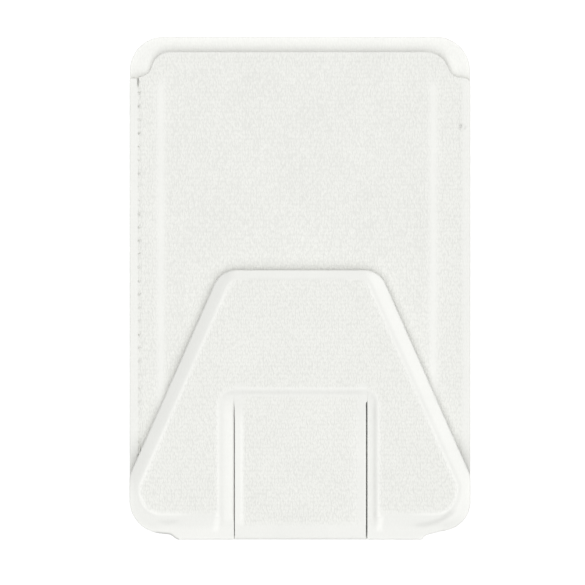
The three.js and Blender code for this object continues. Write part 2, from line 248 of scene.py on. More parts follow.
def leather_sheet(name, corners, top, bottom, cell, edge=0.35, edge_fn=None, features=(), loop_step=0.3, bottom_edge=0.15, coarse=2.5, sharp=38.0):
    """A closed sheet of leather: top(P) gives height, the polish mask and the painted highlight and painted shade
    masks, bottom is a height or a function.
    The rim is rounded over by edge, and features are lines that the mesh follows."""
    poly = rounded(corners)
    area = 0.5 * np.sum(poly[:, 0] * np.roll(poly[:, 1], -1) - poly[:, 1] * np.roll(poly[:, 0], -1))
    if area < 0:
        poly = poly[::-1]
    loop = dense(poly, loop_step)
    keep = [0]
    for i in range(1, len(loop)):
        if np.linalg.norm(loop[i] - loop[keep[-1]]) > 0.04:
            keep.append(i)
    if np.linalg.norm(loop[keep[-1]] - loop[0]) < 0.04:
        keep.pop()
    loop = loop[keep]
    nb = len(loop)
    nrm = loop_normals(loop)
    r = edge_fn(loop) if edge_fn is not None else np.full(nb, edge)
    angles = np.radians([0, 14, 28, 44, 60, 76, 90])
    rings = [loop + nrm * (r * (1 - math.cos(a)))[:, None] for a in angles]
    rings.append(loop + nrm * (r * 1.0 + 0.22)[:, None])
    drops = [r * (1 - math.sin(a)) for a in angles] + [np.zeros(nb)]
    top_loops = np.concatenate(rings)
    drop = np.concatenate(drops)
    # lines to follow, then the even field
    lo, hi = poly.min(0), poly.max(0)
    extra = []
    for line in features:
        if len(line):
            extra.append(line)
    near = float(r.max()) + 0.22
    taken = rings[-1]
    if extra:
        E = np.concatenate(extra)
        E = E[inside(E, poly)]
        E = E[distance(E, poly) > near + 0.12]
        E = thin(E, taken, 0.16)
        taken = np.concatenate([taken, E])
    else:
        E = np.zeros((0, 2))
    xs = np.arange(lo[0], hi[0], cell)
    ys = np.arange(lo[1], hi[1], cell * 0.866)
    G = np.array([[x + (0.5 * cell if j % 2 else 0), y] for j, y in enumerate(ys) for x in xs])
    G = G[inside(G, poly)]
    G = G[distance(G, poly) > near + 0.3 * cell]
    if len(E):
        cellmap = {(int(math.floor(p[0] / cell)), int(math.floor(p[1] / cell))) for p in E}
        ok = []
        ES = {}
        for p in E:
            ES.setdefault((int(math.floor(p[0] / cell)), int(math.floor(p[1] / cell))), []).append(p)
        for p in G:
            i, j = int(math.floor(p[0] / cell)), int(math.floor(p[1] / cell))
            bad = False
            for a in (i - 1, i, i + 1):
                for b in (j - 1, j, j + 1):
                    if (a, b) in cellmap:
                        for q in ES[(a, b)]:
                            if (q[0] - p[0]) ** 2 + (q[1] - p[1]) ** 2 < (0.55 * cell) ** 2:
                                bad = True
                                break
                    if bad:
                        break
                if bad:
                    break
            ok.append(not bad)
        G = G[np.array(ok)]
    P = np.concatenate([top_loops, E, G])
    drop = np.concatenate([drop, np.zeros(len(E) + len(G))])
    z, polish, painted_highlight, shade = top(P)
    z = z - drop
    F = triangulate(P, poly, nb)
    nT = len(P)
    # underside: the same rim, and a coarse field
    b_in = loop + nrm * bottom_edge
    b_in2 = loop + nrm * (bottom_edge + 0.5)
    xs = np.arange(lo[0], hi[0], coarse)
    ys = np.arange(lo[1], hi[1], coarse)
    GB = np.array([[x, y] for y in ys for x in xs])
    GB = GB[inside(GB, poly)]
    GB = GB[distance(GB, poly) > bottom_edge + 0.5 + 0.3 * coarse]
    PB = np.concatenate([b_in, b_in2, GB])
    FB = triangulate(PB, rounded_poly_of(b_in), nb)
    zb = bottom(PB) if callable(bottom) else np.full(len(PB), float(bottom))
    zl = bottom(loop) if callable(bottom) else np.full(nb, float(bottom))
    z_edge = z[:nb]
    wall_mid = np.stack([loop[:, 0], loop[:, 1], z_edge * 0.5 + (zl + bottom_edge) * 0.5], axis=1)
    wall_low = np.stack([loop[:, 0], loop[:, 1], zl + bottom_edge], axis=1)
    verts = np.concatenate([
        np.column_stack([P, z]),
        wall_mid,
        wall_low,
        np.column_stack([PB, zb]),
    ])
    faces = [tuple(int(i) for i in f) for f in F]
    o1, o2, o3 = nT, nT + nb, nT + 2 * nb
    for i in range(nb):
        j = (i + 1) % nb
        faces.append((i, o1 + i, o1 + j, j))
        faces.append((o1 + i, o2 + i, o2 + j, o1 + j))
        faces.append((o2 + i, o3 + i, o3 + j, o2 + j))
    faces += [(int(f[2]) + o3, int(f[1]) + o3, int(f[0]) + o3) for f in FB]
    nv = len(verts)
    pol = np.zeros(nv)
    hilite = np.zeros(nv)
    sha = np.zeros(nv)
    pol[:nT], hilite[:nT], sha[:nT] = polish, painted_highlight, np.clip(shade, 0, 1)
    pol[nT:] = 1.0
    obj = make_object(name, verts, faces, {"polish": pol, "painted_highlight": hilite, "shade": sha}, sharp)
    return obj


def rounded_poly_of(loop):
    return loop


def loft(name, rings, closed_ring=True, caps=True, attrs=None, sharp=38.0):
    """Rings of equal length, joined in order. rings: (n, m, 3)."""
    n, m = rings.shape[:2]
    verts = rings.reshape(-1, 3)
    faces = []
    for i in range(n - 1):
        for j in range(m if closed_ring else m - 1):
            k = (j + 1) % m
            faces.append((i * m + j, i * m + k, (i + 1) * m + k, (i + 1) * m + j))
    if caps:
        faces.append(tuple(range(m))[::-1])
        faces.append(tuple((n - 1) * m + j for j in range(m)))
    obj = make_object(name, verts, faces, attrs, sharp)
    fix_normals(obj)
    return obj


def fix_normals(obj):
    import bmesh
    bm = bmesh.new()
    bm.from_mesh(obj.data)
    bmesh.ops.recalc_face_normals(bm, faces=bm.faces)
    bm.to_mesh(obj.data)
    bm.free()


# ------------------------------------------------------------------ materials
def node(nt, kind, x=0, y=0, **settings):
    n = nt.nodes.new(kind)
    n.location = (x, y)
    for k, v in settings.items():
        setattr(n, k, v)
    return n


def new_material(name):
    m = bpy.data.materials.new(name)
    m.use_nodes = True
    nt = m.node_tree
    nt.nodes.clear()
    out = node(nt, "ShaderNodeOutputMaterial", 900, 0)
    bsdf = node(nt, "ShaderNodeBsdfPrincipled", 600, 0)
    nt.links.new(bsdf.outputs["BSDF"], out.inputs["Surface"])
    return m, nt, bsdf


def leather_material(name, base, smooth_tone, grain=1.0, rough=0.56):
    """Coated leather: fine pebbled grain drawn a little along Y, polished where it is pressed or folded."""
    m, nt, bsdf = new_material(name)
    L = nt.links
    rest = node(nt, "ShaderNodeAttribute", -1500, 0, attribute_name="rest_mm")
    pol = node(nt, "ShaderNodeAttribute", -1500, -300, attribute_name="polish")
    hilite = node(nt, "ShaderNodeAttribute", -1500, -500, attribute_name="painted_highlight")
    sha = node(nt, "ShaderNodeAttribute", -1500, -700, attribute_name="shade")
    stretch = node(nt, "ShaderNodeMapping", -1300, 0)
    stretch.inputs["Scale"].default_value = (1.0, 0.36, 1.0)
    L.new(rest.outputs["Vector"], stretch.inputs["Vector"])
    # pebbles
    warp = node(nt, "ShaderNodeTexNoise", -1100, 250, noise_dimensions="3D")
    warp.inputs["Scale"].default_value = 1.7
    warp.inputs["Detail"].default_value = 2.0
    L.new(stretch.outputs["Vector"], warp.inputs["Vector"])
    mixv = node(nt, "ShaderNodeMix", -900, 150, data_type="VECTOR")
    mixv.inputs[0].default_value = 0.07
    L.new(stretch.outputs["Vector"], mixv.inputs[4])
    L.new(warp.outputs["Color"], mixv.inputs[5])
    peb = node(nt, "ShaderNodeTexVoronoi", -700, 200, feature="SMOOTH_F1")
    peb.inputs["Scale"].default_value = 4.0
    peb.inputs["Smoothness"].default_value = 0.35
    peb.inputs["Randomness"].default_value = 0.66
    L.new(mixv.outputs[1], peb.inputs["Vector"])
    fine = node(nt, "ShaderNodeTexNoise", -700, -50, noise_dimensions="3D")
    fine.inputs["Scale"].default_value = 6.5
    fine.inputs["Detail"].default_value = 4.0
    fine.inputs["Roughness"].default_value = 0.6
    L.new(stretch.outputs["Vector"], fine.inputs["Vector"])
    broad = node(nt, "ShaderNodeTexNoise", -700, -300, noise_dimensions="3D")
    broad.inputs["Scale"].default_value = 0.12
    broad.inputs["Detail"].default_value = 3.0
    L.new(rest.outputs["Vector"], broad.inputs["Vector"])
    hair = node(nt, "ShaderNodeMath", -600, 60, operation="MULTIPLY")
    L.new(fine.outputs["Fac"], hair.inputs[0])
    hair.inputs[1].default_value = 0.55
    height = node(nt, "ShaderNodeMath", -450, 100, operation="SUBTRACT")
    L.new(hair.outputs["Value"], height.inputs[0])
    L.new(peb.outputs["Distance"], height.inputs[1])
    # less grain where it is polished
    inv = node(nt, "ShaderNodeMath", -450, -150, operation="MULTIPLY_ADD", use_clamp=True)
    L.new(pol.outputs["Fac"], inv.inputs[0])
    inv.inputs[1].default_value = -0.86
    inv.inputs[2].default_value = 1.0
    masked = node(nt, "ShaderNodeMath", -250, 50, operation="MULTIPLY")
    L.new(height.outputs["Value"], masked.inputs[0])
    L.new(inv.outputs["Value"], masked.inputs[1])
    bump = node(nt, "ShaderNodeBump", 300, -300)
    bump.inputs["Strength"].default_value = 0.55 * grain
    bump.inputs["Distance"].default_value = 0.0002
    L.new(masked.outputs["Value"], bump.inputs["Height"])
    L.new(bump.outputs["Normal"], bsdf.inputs["Normal"])
    # colour: base, a touch darker in the pores, lighter where polished, slow drift over the hide; then mixed towards a
    # painted highlight tone and darkened by the painted shade mask
    pores = node(nt, "ShaderNodeMapRange", -250, 400)
    pores.inputs["From Min"].default_value = -0.42
    pores.inputs["From Max"].default_value = 0.02
    pores.inputs["To Min"].default_value = 0.885
    pores.inputs["To Max"].default_value = 1.0
    L.new(masked.outputs["Value"], pores.inputs["Value"])
    base_rgb = node(nt, "ShaderNodeRGB", -250, 650)
    base_rgb.outputs[0].default_value = (*base, 1)
    smooth_rgb = node(nt, "ShaderNodeRGB", -250, 850)
    smooth_rgb.outputs[0].default_value = (*smooth_tone, 1)
    tone = node(nt, "ShaderNodeMix", 0, 650, data_type="RGBA")
    L.new(pol.outputs["Fac"], tone.inputs[0])
    L.new(base_rgb.outputs[0], tone.inputs[6])
    L.new(smooth_rgb.outputs[0], tone.inputs[7])
    # painted highlight: the mask mixes the colour towards the lighter highlight tone
    highlight_mix = node(nt, "ShaderNodeMix", 150, 650, data_type="RGBA")
    L.new(hilite.outputs["Fac"], highlight_mix.inputs[0])
    L.new(tone.outputs[2], highlight_mix.inputs[6])
    highlight_mix.inputs[7].default_value = (*PAINTED_HIGHLIGHT_TONE, 1)
    drift = node(nt, "ShaderNodeMapRange", 0, 400)
    drift.inputs["From Min"].default_value = 0.25
    drift.inputs["From Max"].default_value = 0.75
    drift.inputs["To Min"].default_value = 0.985
    drift.inputs["To Max"].default_value = 1.015
    L.new(broad.outputs["Fac"], drift.inputs["Value"])
    both = node(nt, "ShaderNodeMath", 150, 400, operation="MULTIPLY")
    L.new(pores.outputs["Result"], both.inputs[0])
    L.new(drift.outputs["Result"], both.inputs[1])
    # painted shade: the shade mask darkens the colour by up to a third
    painted_shade_factor = node(nt, "ShaderNodeMath", 150, 200, operation="MULTIPLY_ADD")
    L.new(sha.outputs["Fac"], painted_shade_factor.inputs[0])
    painted_shade_factor.inputs[1].default_value = -0.34
    painted_shade_factor.inputs[2].default_value = 1.0
    toned = node(nt, "ShaderNodeMath", 300, 300, operation="MULTIPLY")
    L.new(both.outputs["Value"], toned.inputs[0])
    L.new(painted_shade_factor.outputs["Value"], toned.inputs[1])
    final = node(nt, "ShaderNodeVectorMath", 350, 500, operation="SCALE")
    L.new(highlight_mix.outputs[2], final.inputs[0])
    L.new(toned.outputs["Value"], final.inputs["Scale"])
    L.new(final.outputs["Vector"], bsdf.inputs["Base Color"])
    # roughness: varied by grain, lower where polished
    ro = node(nt, "ShaderNodeMapRange", 0, 100)
    ro.inputs["To Min"].default_value = rough + 0.06
    ro.inputs["To Max"].default_value = rough - 0.06
    L.new(fine.outputs["Fac"], ro.inputs["Value"])
    ro2 = node(nt, "ShaderNodeMath", 200, 100, operation="MULTIPLY_ADD")
    L.new(pol.outputs["Fac"], ro2.inputs[0])
    ro2.inputs[1].default_value = -0.08
    L.new(ro.outputs["Result"], ro2.inputs[2])
    L.new(ro2.outputs["Value"], bsdf.inputs["Roughness"])
    bsdf.inputs["Specular IOR Level"].default_value = 0.4
    bsdf.inputs["Sheen Weight"].default_value = 0.04
    bsdf.inputs["Sheen Roughness"].default_value = 0.5
    return m


def object_mm(nt, x=-1200, y=0, scale=1000.0):
    co = node(nt, "ShaderNodeTexCoord", x - 200, y)
    mp = node(nt, "ShaderNodeMapping", x, y)
    mp.inputs["Scale"].default_value = (scale, scale, scale)
    nt.links.new(co.outputs["Object"], mp.inputs["Vector"])
    return mp.outputs["Vector"]


def fabric_material(name, base):
    m, nt, bsdf = new_material(name)
    L = nt.links
    v = object_mm(nt)
    n1 = node(nt, "ShaderNodeTexNoise", -900, 0)
    n1.inputs["Scale"].default_value = 6.0
    n1.inputs["Detail"].default_value = 5.0
    n1.inputs["Roughness"].default_value = 0.7
    L.new(v, n1.inputs["Vector"])
    n2 = node(nt, "ShaderNodeTexNoise", -900, -250)
    n2.inputs["Scale"].default_value = 0.35
    n2.inputs["Detail"].default_value = 3.0
    L.new(v, n2.inputs["Vector"])
    add = node(nt, "ShaderNodeMath", -650, 0, operation="ADD")
    L.new(n1.outputs["Fac"], add.inputs[0])
    L.new(n2.outputs["Fac"], add.inputs[1])
    ramp = node(nt, "ShaderNodeMapRange", -400, 150)
    ramp.inputs["From Min"].default_value = 0.6
    ramp.inputs["From Max"].default_value = 1.4
    ramp.inputs["To Min"].default_value = 0.9
    ramp.inputs["To Max"].default_value = 1.04
    L.new(add.outputs["Value"], ramp.inputs["Value"])
    rgb = node(nt, "ShaderNodeRGB", -400, 350)
    rgb.outputs[0].default_value = (*base, 1)
    sc = node(nt, "ShaderNodeVectorMath", -150, 250, operation="SCALE")
    L.new(rgb.outputs[0], sc.inputs[0])
    L.new(ramp.outputs["Result"], sc.inputs["Scale"])
    L.new(sc.outputs["Vector"], bsdf.inputs["Base Color"])
    bump = node(nt, "ShaderNodeBump", 200, -200)
    bump.inputs["Strength"].default_value = 0.5
    bump.inputs["Distance"].default_value = 0.00008
    L.new(n1.outputs["Fac"], bump.inputs["Height"])
    L.new(bump.outputs["Normal"], bsdf.inputs["Normal"])
    bsdf.inputs["Roughness"].default_value = 0.92
    bsdf.inputs["Sheen Weight"].default_value = 0.35
    bsdf.inputs["Sheen Roughness"].default_value = 0.4
    return m


def plain_material(name, base, rough, metal=0.0, streak=(1, 1, 1), vary=0.05, bump_mm=0.02, scale=1.5):
    m, nt, bsdf = new_material(name)
    L = nt.links
    v = object_mm(nt)
    mp = node(nt, "ShaderNodeMapping", -1000, 0)
    mp.inputs["Scale"].default_value = streak
    L.new(v, mp.inputs["Vector"])
    n1 = node(nt, "ShaderNodeTexNoise", -800, 0)
    n1.inputs["Scale"].default_value = scale
    n1.inputs["Detail"].default_value = 5.0
    L.new(mp.outputs["Vector"], n1.inputs["Vector"])
    ramp = node(nt, "ShaderNodeMapRange", -500, 150)
    ramp.inputs["To Min"].default_value = 1 - vary
    ramp.inputs["To Max"].default_value = 1 + vary
    L.new(n1.outputs["Fac"], ramp.inputs["Value"])
    rgb = node(nt, "ShaderNodeRGB", -500, 350)
    rgb.outputs[0].default_value = (*base, 1)
    sc = node(nt, "ShaderNodeVectorMath", -250, 250, operation="SCALE")
    L.new(rgb.outputs[0], sc.inputs[0])
    L.new(ramp.outputs["Result"], sc.inputs["Scale"])
    L.new(sc.outputs["Vector"], bsdf.inputs["Base Color"])
    rr = node(nt, "ShaderNodeMapRange", -250, 0)
    rr.inputs["To Min"].default_value = rough * 0.85
    rr.inputs["To Max"].default_value = min(1.0, rough * 1.15)
    L.new(n1.outputs["Fac"], rr.inputs["Value"])
    L.new(rr.outputs["Result"], bsdf.inputs["Roughness"])
    bump = node(nt, "ShaderNodeBump", 200, -200)
    bump.inputs["Strength"].default_value = 0.3
    bump.inputs["Distance"].default_value = bump_mm * MM
    L.new(n1.outputs["Fac"], bump.inputs["Height"])
    L.new(bump.outputs["Normal"], bsdf.inputs["Normal"])
    bsdf.inputs["Metallic"].default_value = metal
    return m


GRAIN = (0.824, 0.8285, 0.7930)
# the stand's copy of the leather is a touch darker: painted shade against the extra light the raised stand catches
FLAP_GRAIN = (0.823, 0.8275, 0.7915)
POLISHED = (0.784, 0.7880, 0.7590)
# the lighter tone that the painted highlight mask mixes towards
PAINTED_HIGHLIGHT_TONE = (0.878, 0.8810, 0.8500)
mat_leather = leather_material("leather_front", GRAIN, POLISHED, 1.0)
mat_flap = leather_material("leather_flap", FLAP_GRAIN, POLISHED, 1.0)
mat_leather_back = leather_material("leather_back", GRAIN, POLISHED, 0.9)
mat_lining = fabric_material("lining_cloth", (0.74, 0.738, 0.70))
mat_board = plain_material("board", (0.66, 0.63, 0.56), 0.72, vary=0.06)
mat_magnet = plain_material("nickel", (0.60, 0.60, 0.61), 0.24, metal=1.0, vary=0.04, bump_mm=0.004)
mat_steel = plain_material("steel", (0.50, 0.50, 0.51), 0.36, metal=1.0, streak=(0.2, 6, 1), vary=0.08, bump_mm=0.006)
mat_thread = plain_material("thread", (0.74, 0.74, 0.70), 0.8, vary=0.05, bump_mm=0.03, scale=5.0)


def dress(obj, material):
    obj.data.materials.clear()
    obj.data.materials.append(material)
    return obj


# ------------------------------------------------------------------ camera
# The photograph looks straight down on the front, from far off. Its frame is 585 pixels across 113.2 mm,
# and the object's centre lies a little right of the frame's.
PX = 5.167
CX, CY = (292.5 - 300.0) / PX, (288.0 - 292.5) / PX
DIST = 1.30
cam_data = bpy.data.cameras.new("camera")
cam = bpy.data.objects.new("camera", cam_data)
bpy.context.scene.collection.objects.link(cam)
cam_data.sensor_width = 36.0
cam_data.lens = 36.0 * (DIST - 0.0055) / (585.0 / PX * MM)
cam.location = (CX * MM, CY * MM, DIST)
cam.rotation_euler = (0, 0, 0)
cam_data.clip_start, cam_data.clip_end = 0.05, 20.0
bpy.context.scene.camera = cam

# ------------------------------------------------------------------ front panel
FRONT = [
    (-33.0, -47.2, 6.6), (33.0, -47.2, 6.6), (33.0, 40.55, 1.3), (31.3, 40.75, 0.5), (29.5, 40.95, 2.2), (27.4, 45.7, 4.6),
    (-27.7, 45.7, 3.6), (-29.5, 40.9, 2.0), (-31.0, 41.0, 0.5), (-31.25, 40.62, 0.2), (-33.0, 40.6, 0.3),
]
BOARD = rounded([(-26.9, -42.9, 4.0), (25.75, -42.9, 4.0), (25.75, 42.7, 4.2), (-26.9, 42.7, 4.2)])
FRONT_LEVEL = 4.66


def front_top(P):
    s = signed(P, BOARD)  # positive over the stiffener
    x, y = P[:, 0], P[:, 1]
    wob = noise2(P, 9.0, 3) * 0.035 + noise2(P, 3.2, 11) * 0.012
    z = FRONT_LEVEL + 0.035 * smooth(-0.9, 0.5, s) + 0.02 * bell(s, -0.1, 0.6)
    z += wob * smooth(0.4, 2.5, np.abs(s))
    shade = np.zeros(len(P))
    # sewn line, and the strip outside it; the groove and the stitch holes are darkened with painted shade
    run = smooth(-39.2, -38.4, y) * (1 - smooth(38.6, 39.0, y))
    gx = x - SEAM_X
    z -= 0.10 * np.exp(-(gx / 0.22) ** 2) * run
    z -= 0.05 * smooth(0.1, -1.4, gx)
    shade += 0.07 * np.exp(-(gx / 0.26) ** 2) * run
    for hy, lean, deep in zip(STITCH_YS, STITCH_LEAN, STITCH_DEEP):
        k = np.abs(y - hy) < 1.5
        u = gx[k] - lean * (y[k] - hy) + 0.05
        v = y[k] - hy
        pit = np.exp(-((u / 0.12) ** 2) - (v / (0.15 + 0.15 * deep)) ** 2)
        z[k] -= 0.46 * deep * pit
        z[k] -= 0.06 * deep * np.exp(-((u / 0.34) ** 2) - (v / 0.6) ** 2)
        shade[k] += 0.85 * deep * pit
    # the seam opens into a short slot at its upper end, darkened inside with painted shade
    slot = np.exp(-((x + 31.36) / 0.115) ** 2) * smooth(38.0, 40.2, y) * (1 - smooth(41.6, 41.9, y))
    z -= 0.80 * slot
    shade += 0.9 * slot
    # pressed line on the other side, and a small pin mark beside it, both darkened with painted shade
    press = np.exp(-((x - 31.0) / 0.30) ** 2) * smooth(-46, -44, y) * (1 - smooth(39.8, 40.4, y))
    z -= 0.035 * press
    shade += 0.05 * press
    z -= 0.05 * smooth(31.1, 32.6, x)
    r = np.hypot(x - 31.45, y - 31.15)
    pin = np.exp(-(((x - 31.12) / 0.21) ** 2) - ((y - 31.38) / 0.36) ** 2)
    cup = bell(r, 0.52, 0.15) * (0.35 + 0.65 * smooth(0.3, -0.2, y - 31.15))
    z -= 0.26 * pin + 0.12 * cup
    shade += 0.75 * pin + 0.45 * cup
    # the margins sink towards the lower corners, where the flap passes over them, and carry painted shadow from the
    # flap there
    sink = smooth(-27.0, -33.0, y) * smooth(29.0, 31.2, np.abs(x))
    z -= 0.40 * sink
    shade += 0.24 * sink
    # towards the mouth the panel lifts a hair
    z += 0.03 * smooth(30, 45, y) * np.exp(-(x / 22.0) ** 4)
    band = bell(s, -0.05, 0.88) * smooth(41.5, 38.0, y) * smooth(12.0, 20.0, np.abs(x))
    polish = 0.9 * band + 0.25 * bell(s, -0.05, 0.5) + 0.5 * smooth(45.0, 45.5, y)
    polish = np.clip(polish + smooth(-31.25, -31.5, x) * 0.9 + smooth(31.15, 31.6, x) * 0.8, 0, 1)
    # lighter bands over the stiffener's edges, partly smoother stretched leather and partly painted highlight, and
    # painted highlight on the rolled side strips
    painted_highlight = 0.34 * band + 0.16 * smooth(31.2, 32.4, x) + 0.16 * smooth(-31.2, -31.7, x)
    return np.minimum(z, FRONT_TOP - 0.01), polish, painted_highlight, shade


_rng = np.random.RandomState(8)
STITCH_LEAN = 0.35 + 0.45 * _rng.rand(len(STITCH_YS)) * np.where(_rng.rand(len(STITCH_YS)) < 0.8, 1, -0.6)
STITCH_DEEP = 0.22 + 0.78 * _rng.rand(len(STITCH_YS)) ** 0.9
slot_points = np.array([[-31.32 + dx, y] for y in np.arange(38.4, 40.6, 0.15) for dx in (-0.3, -0.2, -0.1, 0.0, 0.1, 0.2, 0.3)])
hole_points = np.array([[SEAM_X + dx, hy + dy] for hy in STITCH_YS for dx in (-0.36, -0.24, -0.12, 0, 0.12, 0.24, 0.36) for dy in (-0.54, -0.36, -0.18, 0, 0.18, 0.36, 0.54)])
seam_points = np.array([[SEAM_X + dx, y] for y in np.arange(-39, 40.3, 0.3) for dx in (-0.6, -0.4, -0.2, 0.0, 0.2, 0.4, 0.6)])
mark_points = np.array([[31.5 + 0.16 * i, 31.4 + 0.16 * j] for i in range(-3, 4) for j in range(-3, 4)])


def front_edge(loop):
    """The mouth is cut square with a fine broken edge. The sides are rolled more."""
    side = smooth(32.3, 32.9, np.abs(loop[:, 0])) * (1 - smooth(38.5, 40.0, loop[:, 1]))
    low = smooth(-38.0, -44.0, loop[:, 1])
    return 0.14 + 0.07 * side + 0.10 * low


rim_points = [BOARD + loop_normals(BOARD) * o for o in (0.0,)]
front_features = [hole_points, mark_points, slot_points, seam_points] + [dense(BOARD + loop_normals(BOARD) * o, 0.4) for o in (-0.8, -0.4, 0.0, 0.4, 0.8)]
front = leather_sheet("front_panel_leather", FRONT, front_top, FRONT_Z0, 0.46, edge_fn=front_edge, features=front_features)
dress(front, mat_leather)
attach(front, "wallet")
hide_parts("front_panel")

# ------------------------------------------------------------------ sewn thread
def stitches():
    verts, faces = [], []
    sides = 10
    for a, b in zip(STITCH_YS[:-1], STITCH_YS[1:]):
        n = 15
        base = len(verts)
        for i in range(n):
            t = i / (n - 1)
            y = a + 0.10 + (b - a - 0.20) * t
            arch = math.sin(math.pi * t)
            z = 4.22 + 0.20 * min(1.0, arch * 1.9)
            rad = 0.13 * (0.72 + 0.28 * min(1.0, arch * 2.2))
            slope = 0.0
            for k in range(sides):
                th = 2 * math.pi * k / sides
                twist = 2 * math.pi * y / 1.05
                lobe = rad * (1 + 0.16 * math.cos(2 * (th - twist)))
                verts.append((SEAM_X + lobe * math.cos(th), y, z + lobe * math.sin(th)))
        for i in range(n - 1):
            for k in range(sides):
                kk = (k + 1) % sides
                faces.append((base + i * sides + k, base + i * sides + kk, base + (i + 1) * sides + kk, base + (i + 1) * sides + k))
        faces.append(tuple(base + k for k in range(sides)))
        faces.append(tuple(base + (n - 1) * sides + k for k in range(sides))[::-1])
    obj = make_object("seam_stitches", verts, faces)
    fix_normals(obj)
    return obj


thread = stitches()
dress(thread, mat_thread)
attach(thread, "wallet")
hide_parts("seam_thread")

# ------------------------------------------------------------------ back layers
BODY = [(-33.0, -47.2, 6.6), (33.0, -47.2, 6.6), (33.0, 48.75, 6.6), (-33.0, 48.75, 6.6)]
BODY_POLY = rounded(BODY)


def pocket_top(P):
    z = np.full(len(P), 2.54) + noise2(P, 8.0, 21) * 0.03 - 0.015
    polish = np.full(len(P), 0.8)
    d = signed(P, BODY_POLY)
    z += 0.95 * smooth(26.6, 29.4, np.abs(P[:, 0])) * smooth(39.0, 40.5, P[:, 1]) * smooth(0.2, 3.6, d)
    # the pocket strip's lighter tone, partly its smoother leather and partly painted light against the front panel's
    # shadow, with a painted highlight towards its rounded top edge
    painted_highlight = 0.72 + 0.20 * smooth(0.9, 0.1, d)
    return z, polish, painted_highlight, np.zeros(len(P))


pocket = leather_sheet("pocket_back_leather", BODY, pocket_top, 2.14, 1.1, edge=0.26, loop_step=0.4, bottom_edge=0.08, coarse=6.0)
dress(pocket, mat_leather_back)
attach(pocket, "wallet")
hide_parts("pocket_back")

RING_C = np.array([0.0, 17.6])


def back_under(P):
    """The phone side: flat, with the magnet ring's two edges showing through as hair-fine lines, and a pressed line round the rim."""
    rad = np.linalg.norm(P - RING_C, axis=1)
    z = np.zeros(len(P))
    z += 0.05 * bell(rad, 22.8, 0.28) + 0.05 * bell(rad, 27.2, 0.28)
    d = distance(P, BODY_POLY)
    z += 0.07 * bell(d, 2.0, 0.25)
    bar = rounded([(-2.7, -27.7, 0.8), (2.7, -27.7, 0.8), (2.7, -12.3, 0.8), (-2.7, -12.3, 0.8)])
    z += 0.035 * bell(distance(P, bar), 0.0, 0.25)
    return z


BODY_POLY = rounded(BODY)


def flipped_sheet(name, corners, face, back, cell, edge, features, loop_step=0.3):
    """As leather_sheet, but its detailed side looks down: face(P) is measured up from the lowest plane."""
    def top(P):
        z = face(P)
        return -z, np.full(len(P), 0.15), np.zeros(len(P)), np.zeros(len(P))
    obj = leather_sheet(name, corners, top, -back, cell, edge=edge, features=features, loop_step=loop_step, bottom_edge=0.15, coarse=6.0)
    co = np.zeros(len(obj.data.vertices) * 3, np.float32)
    obj.data.vertices.foreach_get("co", co)
    co = co.reshape(-1, 3)
    co[:, 2] *= -1
    obj.data.vertices.foreach_set("co", co.ravel())
    obj.data.flip_normals()
    obj.data.attributes["rest_mm"].data.foreach_set("vector", (co * 1000).ravel())
    obj.data.update()
    return obj


angles = np.linspace(0, 2 * math.pi, 420, endpoint=False)
ring_lines = [RING_C + np.stack([r * np.cos(angles), r * np.sin(angles)], 1) for r in (22.4, 22.6, 22.8, 23.0, 23.2, 26.8, 27.0, 27.2, 27.4, 27.6)]
bar_line = rounded([(-2.7, -27.7, 0.8), (2.7, -27.7, 0.8), (2.7, -12.3, 0.8), (-2.7, -12.3, 0.8)])
rim_lines = [dense(BODY_POLY + loop_normals(BODY_POLY) * o, 0.5) for o in (1.6, 1.8, 2.0, 2.2, 2.4)]
back = flipped_sheet("back_panel_leather", BODY, back_under, 2.12, 1.2, 0.45, ring_lines + rim_lines + [dense(bar_line + loop_normals(bar_line) * o, 0.4) for o in (-0.25, 0.0, 0.25)])
dress(back, mat_leather_back)
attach(back, "wallet")
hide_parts("back_panel")

# ------------------------------------------------------------------ stand
SLANT = (33.0 - 15.37) / (3.5 + 36.4)
K = math.sqrt(1 + SLANT * SLANT)


def slant_x(y, inset):
    return 15.37 + SLANT * (3.5 - y) - inset * K


STAND = [
    (-33.0, -46.9, 6.5), (-25.1, -47.66, 1.6), (-23.7, -48.70, 1.3), (SLOT_L, -48.70, 0.35), (SLOT_L, SLOT_TOP, 0.02),
    (SLOT_R, SLOT_TOP, 0.02), (SLOT_R, -48.70, 0.35), (23.5, -48.72, 0.55), (24.3, -47.85, 1.3), (27.6, -46.95, 4.0), (33.0, -46.6, 5.6),
    (33.0, -36.4, 3.0), (15.37, 3.5, 4.6), (-15.37, 3.5, 4.6), (-33.0, -36.4, 3.0),
]
IN_L, IN_R = 2.5, 3.0
FIELD = rounded([
    (-31.15, -44.0, 4.6), (29.6, -44.0, 4.6), (slant_x(-39.0, 3.2), -38.4, 3.0), (slant_x(1.7, IN_R), 1.7, 2.8),
    (-slant_x(1.7, IN_L), 1.7, 2.8), (-slant_x(-38.2, IN_L), -38.2, 2.8),
])
FRAME = rounded([(-16.0, -52.0, 0.1), (15.3, -52.0, 0.1), (15.3, -19.4, 2.9), (-16.0, -19.4, 2.9)])
STAND_POLY = rounded(STAND)
STAND_FULL = rounded([c for c in STAND if c[0] not in (SLOT_L, SLOT_R)])
PLATEAU = 6.74


